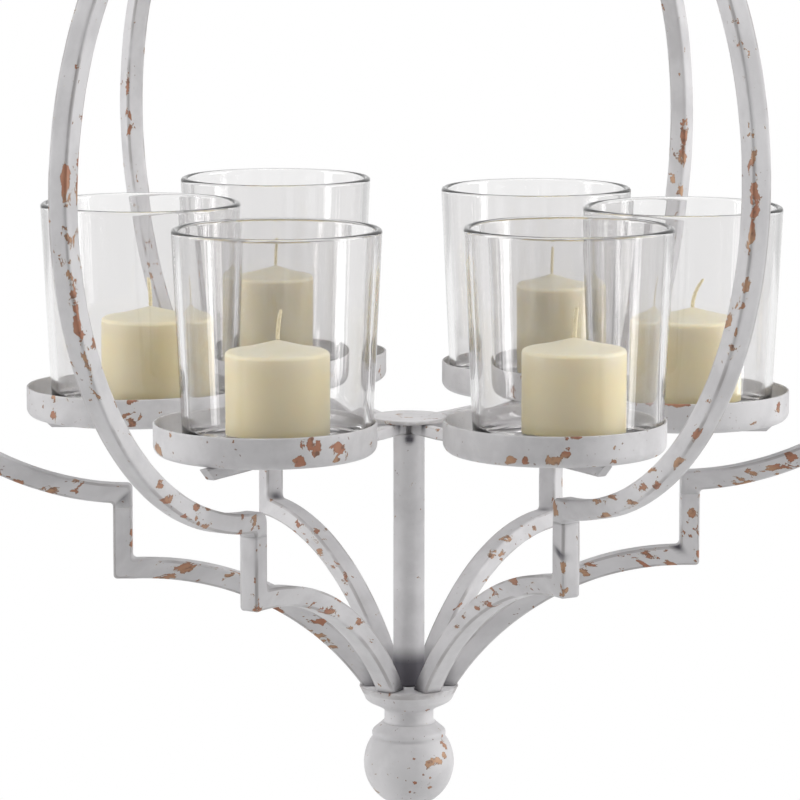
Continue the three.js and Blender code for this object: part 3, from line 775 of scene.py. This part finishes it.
# Glasses
def glass_profile():
    """Beside each bend stands one more point, so that smooth shading leaves the long walls straight."""
    taper = (GLASS_RIM_RADIUS - GLASS_BASE_RADIUS) / (GLASS_HEIGHT - GLASS_CORNER)
    half = GLASS_WALL / 2
    rim_height = GLASS_HEIGHT - half
    floor_radius = GLASS_BASE_RADIUS + taper * (GLASS_BASE - GLASS_CORNER) - GLASS_WALL
    bevel = 6.0
    base = GLASS_BASE_RADIUS - GLASS_CORNER
    under = [(0, 1.0), (base * 0.5, 0.9), (base * 0.82, 0.5), (base * 0.92, 0.05)]
    outside = arc(base, GLASS_CORNER, GLASS_CORNER, -90, 0, 6)
    near = 0.35
    wall_low = (GLASS_BASE_RADIUS + taper * near, GLASS_CORNER + near)
    wall_high = (GLASS_RIM_RADIUS - taper * near, rim_height - near)
    wall = [wall_low] + spread(wall_low, wall_high, 12) + [wall_high]
    rim = arc(GLASS_RIM_RADIUS - half, rim_height, half, 0, 180, 10)
    inner_top = (GLASS_RIM_RADIUS - GLASS_WALL - taper * near, rim_height - near)
    inner_low = (floor_radius + taper * (bevel + near), GLASS_BASE + bevel + near)
    inside = [inner_top] + spread(inner_top, inner_low, 12) + [inner_low]
    floor = arc(floor_radius - bevel + taper * bevel, GLASS_BASE + bevel, bevel, 0, -90, 8)
    floor += [(floor_radius * 0.6, GLASS_BASE - 0.05), (floor_radius * 0.3, GLASS_BASE - 0.1)]
    floor += [(0, GLASS_BASE - 0.1)]
    return under + outside + wall + rim + inside + floor


def add_glass(place):
    node = f"glass_{place}"
    vertices, faces, _ = turned(node, glass_profile(), 128, base_of(node))
    add_piece(f"clear_{node}", vertices, faces, clear_glass, node, node)


# Candles and wicks
def candle_profile(height):
    shoulder = height - CANDLE_CROWN
    soft = 2.0
    outside = [(0, 0), (CANDLE_RADIUS * 0.5, 0), (CANDLE_RADIUS - 2, 0)]
    outside += arc(CANDLE_RADIUS - 1.5, 1.5, 1.5, -90, 0, 4)
    outside += spread((CANDLE_RADIUS, 1.5), (CANDLE_RADIUS, shoulder - soft), 8)
    edge = arc(CANDLE_RADIUS - soft, shoulder - soft, soft, 0, 75, 6)
    top = []
    for i in range(1, 11):
        share = i / 10
        radius = (CANDLE_RADIUS - soft) * (1 - share) + 1.2 * share
        top.append((radius, edge[-1][1] + (height - edge[-1][1]) * share ** 1.15))
    return outside + edge + top + [(0, height)]


def add_candle(place):
    node = f"candle_{place}"
    low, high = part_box(node)
    height = (high.z - low.z) * 1000
    profile = candle_profile(height)
    deep = [max(0.0, min(0.7, (height - CANDLE_CROWN - level) / 14)) for _, level in profile]
    vertices, faces, values = turned(node, profile, 72, base_of(node), deep, POURED, 16)
    add_piece(f"ivory_{node}", vertices, faces, ivory_wax, node, node, {"deep": values["wear"]})


def add_wick(place):
    """A wick of three strands twisted together, bent over towards its tip."""
    node = f"wick_{place}"
    low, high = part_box(node)
    lean = STATIONS[place][-1]
    start_x = low.x * 1000 + WICK_RADIUS if lean >= 0 else high.x * 1000 - WICK_RADIUS
    foot = Vector((start_x, (low.y + high.y) * 500, low.z * 1000))
    strand = WICK_RADIUS * 0.52
    rings = 34
    sides = 8
    vertices = []
    faces = []
    for number in range(3):
        first = len(vertices)
        for i in range(rings):
            share = i / (rings - 1)
            turn = math.tau * (number / 3 + 2.2 * share)
            taper = 1 - 0.35 * max(0, share - 0.8) / 0.2
            middle = foot + Vector((lean * share ** 2, 0, WICK_LENGTH * share))
            middle += Vector((math.cos(turn), math.sin(turn), 0)) * (WICK_RADIUS - strand) * 0.95
            for k in range(sides):
                angle = math.tau * k / sides
                around = Vector((math.cos(angle), math.sin(angle), 0))
                vertices.append((middle + around * strand * taper) / 1000)
        for i in range(rings - 1):
            for k in range(sides):
                a = first + i * sides + k
                b = first + i * sides + (k + 1) % sides
                faces.append((a, b, b + sides, a + sides))
        faces.append(tuple(reversed(range(first, first + sides))))
        faces.append(tuple(range(first + (rings - 1) * sides, first + rings * sides)))
    add_piece(f"cotton_{node}", vertices, faces, waxed_cotton, f"candle_{place}", node)


for place in STATIONS:
    add_tray(place)
for place in STATIONS:
    add_glass(place)
for place in STATIONS:
    add_candle(place)
    add_wick(place)


# Cups, ball, post, plate and tray arms
CUP_RADIUS = 23.9
CUP_RIM = 6.0
CUP_SHOULDER = 21.3
CUP_CURVE = 7.0
CUP_HEIGHT = 18.4
NECK_RADIUS = 11.9
NECK_FLARE = 2.2
COLLAR_RADIUS = 17.9
COLLAR_HEIGHT = 7.3
COLLAR_BEVEL = 4.0
BALL_RADIUS = 21.8


def cup_profile():
    """The lower cup, hanging down from height zero."""
    edge = 0.7
    curve = []
    for i in range(17):
        share = i / 16
        radius = NECK_RADIUS + (CUP_SHOULDER - NECK_RADIUS) * (1 + math.cos(math.pi * share)) / 2
        curve.append((radius, -CUP_RIM - CUP_CURVE * share))
    flare = arc(NECK_RADIUS + NECK_FLARE, -CUP_HEIGHT - GAP + NECK_FLARE, NECK_FLARE, 235, 180, 5)
    neck = flare + spread(flare[-1], (NECK_RADIUS, -CUP_RIM - CUP_CURVE), 3)
    rim = straight((CUP_SHOULDER + 0.3, -CUP_RIM + 0.6), (CUP_RADIUS - 0.2, -GAP - edge), 4)
    rim += arc(CUP_RADIUS - edge, -GAP - edge, edge, 15, 90, 4)
    return [(0, flare[0][1])] + neck + curve[::-1] + rim + [(20, -GAP), (14, -GAP), (0, -GAP)]


def cup_wear(profile):
    return [1.0 if radius > CUP_RADIUS - 1.5 else 0.15 for radius, _ in profile]


def ball_profile():
    """The ball and its collar, up to the cup's neck."""
    top = -CUP_HEIGHT - GAP
    under_collar = top - COLLAR_HEIGHT
    under_bevel = top - COLLAR_BEVEL
    centre = under_collar - math.sqrt(BALL_RADIUS ** 2 - COLLAR_RADIUS ** 2)
    end = math.degrees(math.acos(COLLAR_RADIUS / BALL_RADIUS))
    ball = arc(0, centre, BALL_RADIUS, -90, end - 2, 80)
    ball += [(COLLAR_RADIUS - 0.9, under_collar + 0.5)]
    ball += straight((COLLAR_RADIUS - 0.2, under_collar + 1.2), (COLLAR_RADIUS - 0.1, under_bevel - 0.6), 3)
    ball += straight((COLLAR_RADIUS - 0.6, under_bevel + 0.5), (NECK_RADIUS + 0.9, top + 0.35), 6)
    return ball + [(NECK_RADIUS, top + 0.35), (0, top + 0.35)]


def post_profile():
    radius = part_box("post_tube")[1].x * 1000
    height = ARM_TOP - ARM_DIP - ARM_HEIGHT - GAP
    low = [(0, 0), (radius - 0.4, 0), (radius, 0.4)]
    wall = spread((radius, 0.4), (radius, height - 0.4), 90)
    return low + wall + [(radius, height - 0.4), (radius - 0.4, height), (0, height)]


def plate_profile():
    low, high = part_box("hub_plate")
    radius = high.x * 1000
    bottom = low.z * 1000 + HOOK_HEIGHT
    top = high.z * 1000 + HOOK_HEIGHT
    edge = 0.6
    plate = [(0, bottom), (12, bottom)]
    plate += arc(radius - edge, bottom + edge, edge, -90, 0, 4)
    plate += arc(radius - edge, top - edge, edge, 0, 90, 4)
    return plate + [(15, top), (12, top), (6, top), (0, top)]


def plate_wear(profile):
    rim = max(radius for radius, _ in profile)
    return [1.0 if radius > rim - 1.5 else 0.45 for radius, _ in profile]


def add_turned(node, profile, segments, wear, level=0.0, nook=None, marks=(), shade_marks=()):
    """A turned piece of the frame, on the holder's axis. nook is the height under which it gets painted
    shade.
    """
    centre = Vector((0, 0, level - HOOK_HEIGHT))
    vertices, faces, values = turned(node, profile, segments, centre, wear, HAND_MADE, 16)
    values["worn"] = worn_by_bearing(vertices, centre, marks, 0.0)
    # Painted shade at the listed places, such as on the post under the hub plate
    values["painted_shade"] = [min(DARKEST_SHADE, value) for value in worn_by_bearing(vertices, centre, shade_marks, 0.0)]
    # Painted shade low on the piece, below the height nook
    if nook is not None:
        heights = [vertex.z * 1000 + HOOK_HEIGHT for vertex in vertices]
        low = [max(0.0, min(NOOK_SHADE, (nook - height) / SHADE_FADE)) for height in heights]
        values["painted_shade"] = [max(pair) for pair in zip(values["painted_shade"], low)]
    add_piece(f"painted_{node}", vertices, faces, turned_paint, "frame", node, values)


# Worn places and painted shade on the turned pieces, listed like those of the trays
CUP_MARKS = ((-53.5, -10.3, 6, 1.3, 1.15), (-98, -10.3, 3, 0.9, 0.9))
BALL_MARKS = (
    (-62, -35, 11, 2.4, 1.3), (-48, -34.5, 9, 2.2, 1.3), (-36, -33, 6, 3, 1.2), (-27, -29, 6, 3, 1.15),
    (-24, -24.5, 5, 2, 1.0), (-83, -32.5, 2.8, 1.1, 1.1), (-105, -41.5, 2, 1.2, 1.1),
    (-94, -43, 2.4, 0.9, 1.05), (-81, -44, 2.8, 1.1, 1.1), (-71, -40.5, 2.8, 1.1, 1.1),
    (-61, -42, 2.4, 0.9, 1.0), (-60, -47.5, 4, 1.2, 1.1), (-89, -49, 3, 0.9, 1.05))
# Painted shade on the post's front, just under the hub plate
POST_SHADE = ((-88, 120.8, 15, 1.9, 2.2),)

lower = cup_profile()
upper = [(radius, -height) for radius, height in reversed(lower)]
ball = ball_profile()
post = post_profile()
plate = plate_profile()
add_turned("lower_cup", lower, 144, cup_wear(lower), marks=CUP_MARKS)
add_turned("upper_cup", upper, 144, cup_wear(upper), level=FRAME_HEIGHT)
add_turned("finial_ball", ball, 180, [0.3] * len(ball), marks=BALL_MARKS)
add_turned("post_tube", post, 64, None, nook=20, shade_marks=POST_SHADE)
add_turned("hub_plate", plate, 96, plate_wear(plate))


# Tray arms
def tray_arm_rails(rise, extra):
    """The lower and upper edge of a tray arm: level, a slope, and level again to its bevelled end."""
    bends = [(ARM_START, -ARM_DIP), (ARM_BEND, -ARM_DIP), (ARM_LEVEL, rise), (ARM_END + extra, rise)]
    low = [bends[0]]
    for begin, end in zip(bends, bends[1:]):
        low += straight(begin, end, 12)[1:]
    stretch = (bends[-1][0] + ARM_BEVEL - ARM_LEVEL) / (bends[-1][0] - ARM_LEVEL)
    rails = []
    for radius, height in low:
        above = ARM_LEVEL + (radius - ARM_LEVEL) * stretch if radius > ARM_LEVEL else radius
        rails.append(((radius, height + ARM_TOP - ARM_HEIGHT), (above, height + ARM_TOP)))
    return rails


def add_tray_arm(place, azimuth, rise, extra):
    node = f"tray_arm_{place}"
    shape = bar_section(ARM_HEIGHT, ARM_WIDTH, ARM_EDGE, 2)
    shade_marks = SHADE_MARKS.get(node, ())
    rails = tray_arm_rails(rise, extra)
    vertices, faces, values = swept_bar(node, rails, azimuth, shape, ARM_HEIGHT, THIN_BAR, shade_marks=shade_marks)
    add_piece(f"painted_{node}", vertices, faces, bar_paint, "frame", node, values)


for place, (azimuth, _, _, _, rise, extra, _) in STATIONS.items():
    add_tray_arm(place, azimuth, rise, extra)


# Loops at the top: the eye bolt, the link and the ring, each of round wire
EYE_WIRE = 4.0
EYE_COLLAR = 10.0
EYE_COLLAR_HEIGHT = 4.0


def wire_loop(centre, radius, wire, level, stretch=0.0, steps=120, sides=24):
    """A round wire bent into a loop that stands along the direction level, drawn out upwards by stretch."""
    across = level.cross(UP)
    vertices = []
    faces = []
    for i in range(steps):
        turn = math.tau * (i + 0.5) / steps
        out = level * math.cos(turn) + UP * math.sin(turn)
        middle = centre + out * radius + UP * math.copysign(stretch / 2, math.sin(turn))
        first = i * sides
        second = (i + 1) % steps * sides
        for j in range(sides):
            lean = math.tau * j / sides
            following = (j + 1) % sides
            vertices.append((middle + (out * math.cos(lean) + across * math.sin(lean)) * wire) / 1000)
            faces.append((first + j, second + j, second + following, first + following))
    return vertices, faces


def add_loops():
    low, high = (corner * 1000 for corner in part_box("hanging_ring"))
    wire = (high.y - low.y) / 2
    vertices, faces = wire_loop((low + high) / 2, (high.x - low.x) / 2 - wire, wire, Vector((1, 0, 0)))
    add_piece("painted_hanging_ring", vertices, faces, loop_paint, "ring", "hanging_ring")

    low, high = (corner * 1000 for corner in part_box("chain_link"))
    wire = (high.x - low.x) / 2
    width = high.y - low.y
    stretch = high.z - low.z - width
    vertices, faces = wire_loop((low + high) / 2, width / 2 - wire, wire, Vector((0, 1, 0)), stretch)
    add_piece("painted_chain_link", vertices, faces, loop_paint, "link", "chain_link")

    low, high = (corner * 1000 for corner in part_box("eye_bolt"))
    radius = (high.x - low.x) / 2 - EYE_WIRE
    centre = Vector((0, 0, high.z - radius - EYE_WIRE))
    vertices, faces = wire_loop(centre, radius, EYE_WIRE, Vector((1, 0, 0)))
    top = centre.z - radius
    bottom = top - EYE_COLLAR_HEIGHT
    profile = [(0, low.z), (EYE_WIRE - 0.5, low.z), (EYE_WIRE, low.z + 0.5), (EYE_WIRE, bottom - 0.1)]
    profile += [(EYE_WIRE + 0.1, bottom), (EYE_COLLAR - 0.6, bottom), (EYE_COLLAR - 0.2, bottom + 0.2)]
    profile += [(EYE_COLLAR - 0.2, bottom + 0.6), (EYE_COLLAR - 1.8, top - 0.5)]
    profile += [(EYE_COLLAR - 2.1, top - 0.1), (EYE_COLLAR - 2.6, top), (0, top)]
    shank, shank_faces, _ = turned("eye_bolt", profile, 48, (0, 0, 0))
    faces += [tuple(index + len(vertices) for index in face) for face in shank_faces]
    add_piece("painted_eye_bolt", vertices + shank, faces, loop_paint, "frame", "eye_bolt")


add_loops()
for node in ("eye_nut", "tie_rod"):
    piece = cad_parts[node]
    piece.data.materials.clear()
    piece.data.materials.append(loop_paint)


# Floor, world and lamps
FLOOR_HEIGHT = -480.0
FLOOR_RADIUS = 5.0  # metres, as in the rest of the stage
FLOOR_SEGMENTS = 96
SKY = 0.3
BANDS = 6.0
BAND_DEPTH = 0.42
LAMP_AIM = (0, 0, -0.45)


def floor_material():
    """Pale near the holder, where its shadow falls, and as white as the background further out."""
    material, n = new_material("pale_floor")
    matt = n.add("ShaderNodeBsdfDiffuse", {"Color": (0.86, 0.86, 0.86, 1)})
    white = n.add("ShaderNodeEmission", {"Strength": 1.0})
    place = n.add("ShaderNodeTexCoord").outputs["Object"]
    distance = n.add("ShaderNodeVectorMath", {0: place}, operation="LENGTH").outputs["Value"]
    path = n.add("ShaderNodeLightPath").outputs
    plain = n.math("MULTIPLY", path["Is Camera Ray"], n.ramp(distance, 0.55, 1.1))
    through = n.math("MAXIMUM", path["Is Glossy Ray"], path["Is Transmission Ray"])
    n.finish(n.blend(n.math("MAXIMUM", plain, through), matt, white))
    return material


def add_floor():
    mesh = bpy.data.meshes.new("floor")
    turns = [math.tau * k / FLOOR_SEGMENTS for k in range(FLOOR_SEGMENTS)]
    rim = [(FLOOR_RADIUS * math.cos(turn), FLOOR_RADIUS * math.sin(turn), 0) for turn in turns]
    mesh.from_pydata(rim, [], [tuple(range(FLOOR_SEGMENTS))])
    mesh.materials.append(floor_material())
    floor = bpy.data.objects.new("floor", mesh)
    floor.location = to_frame((0, 0, FLOOR_HEIGHT))
    bpy.context.scene.collection.objects.link(floor)


def make_world():
    """White for the camera, a dim sky for matt surfaces, and soft upright bands for glass and gloss."""
    world = bpy.data.worlds.new("studio")
    bpy.context.scene.world = world
    n = Nodes(world, "ShaderNodeOutputWorld")
    direction = n.add("ShaderNodeTexCoord").outputs["Generated"]
    parts = n.add("ShaderNodeSeparateXYZ", {0: direction}).outputs
    wave = n.math("COSINE", n.math("MULTIPLY", n.math("ARCTAN2", parts["Y"], parts["X"]), BANDS))
    band = n.math("POWER", n.math("MULTIPLY", n.math("ADD", wave, 1.0), 0.5), 2.0)
    level = n.math("SUBTRACT", 1.0, n.math("ABSOLUTE", parts["Z"]))
    band = n.math("MULTIPLY", band, n.math("POWER", level, 2.0))
    banded = n.math("SUBTRACT", 1.0, n.math("MULTIPLY", band, BAND_DEPTH))
    path = n.add("ShaderNodeLightPath").outputs
    glossy = n.math("MAXIMUM", path["Is Glossy Ray"], path["Is Transmission Ray"])
    bright = n.math("MULTIPLY", glossy, banded)
    dull = n.math("MULTIPLY", n.math("SUBTRACT", 1.0, glossy), SKY)
    strength = n.math("MAXIMUM", n.math("ADD", bright, dull), path["Is Camera Ray"])
    n.finish(n.add("ShaderNodeBackground", {"Color": (1, 1, 1, 1), "Strength": strength}))


def add_lamp(name, place, width, height, power):
    """A soft box that faces the holder, in metres and watts."""
    data = bpy.data.lights.new(name, "AREA")
    data.shape = "RECTANGLE"
    data.size = width
    data.size_y = height
    data.energy = power
    lamp = bpy.data.objects.new(name, data)
    lamp.location = place
    lamp.rotation_euler = (Vector(LAMP_AIM) - Vector(place)).to_track_quat("-Z", "Y").to_euler()
    bpy.context.scene.collection.objects.link(lamp)


add_floor()
make_world()
add_lamp("left", (-2.0, 0.0, 0.2), 1.2, 1.2, 14.5)
add_lamp("right", (2.0, 0.0, 0.2), 1.2, 1.2, 18)
add_lamp("left_strip", (-1.95, -0.48, 0.0), 0.35, 2.0, 11.5)
add_lamp("right_strip", (1.95, -0.48, 0.0), 0.35, 2.0, 13)
add_lamp("top", (0.1, -0.1, 1.25), 1.1, 1.1, 11)
bpy.context.scene.view_settings.view_transform = "Standard"
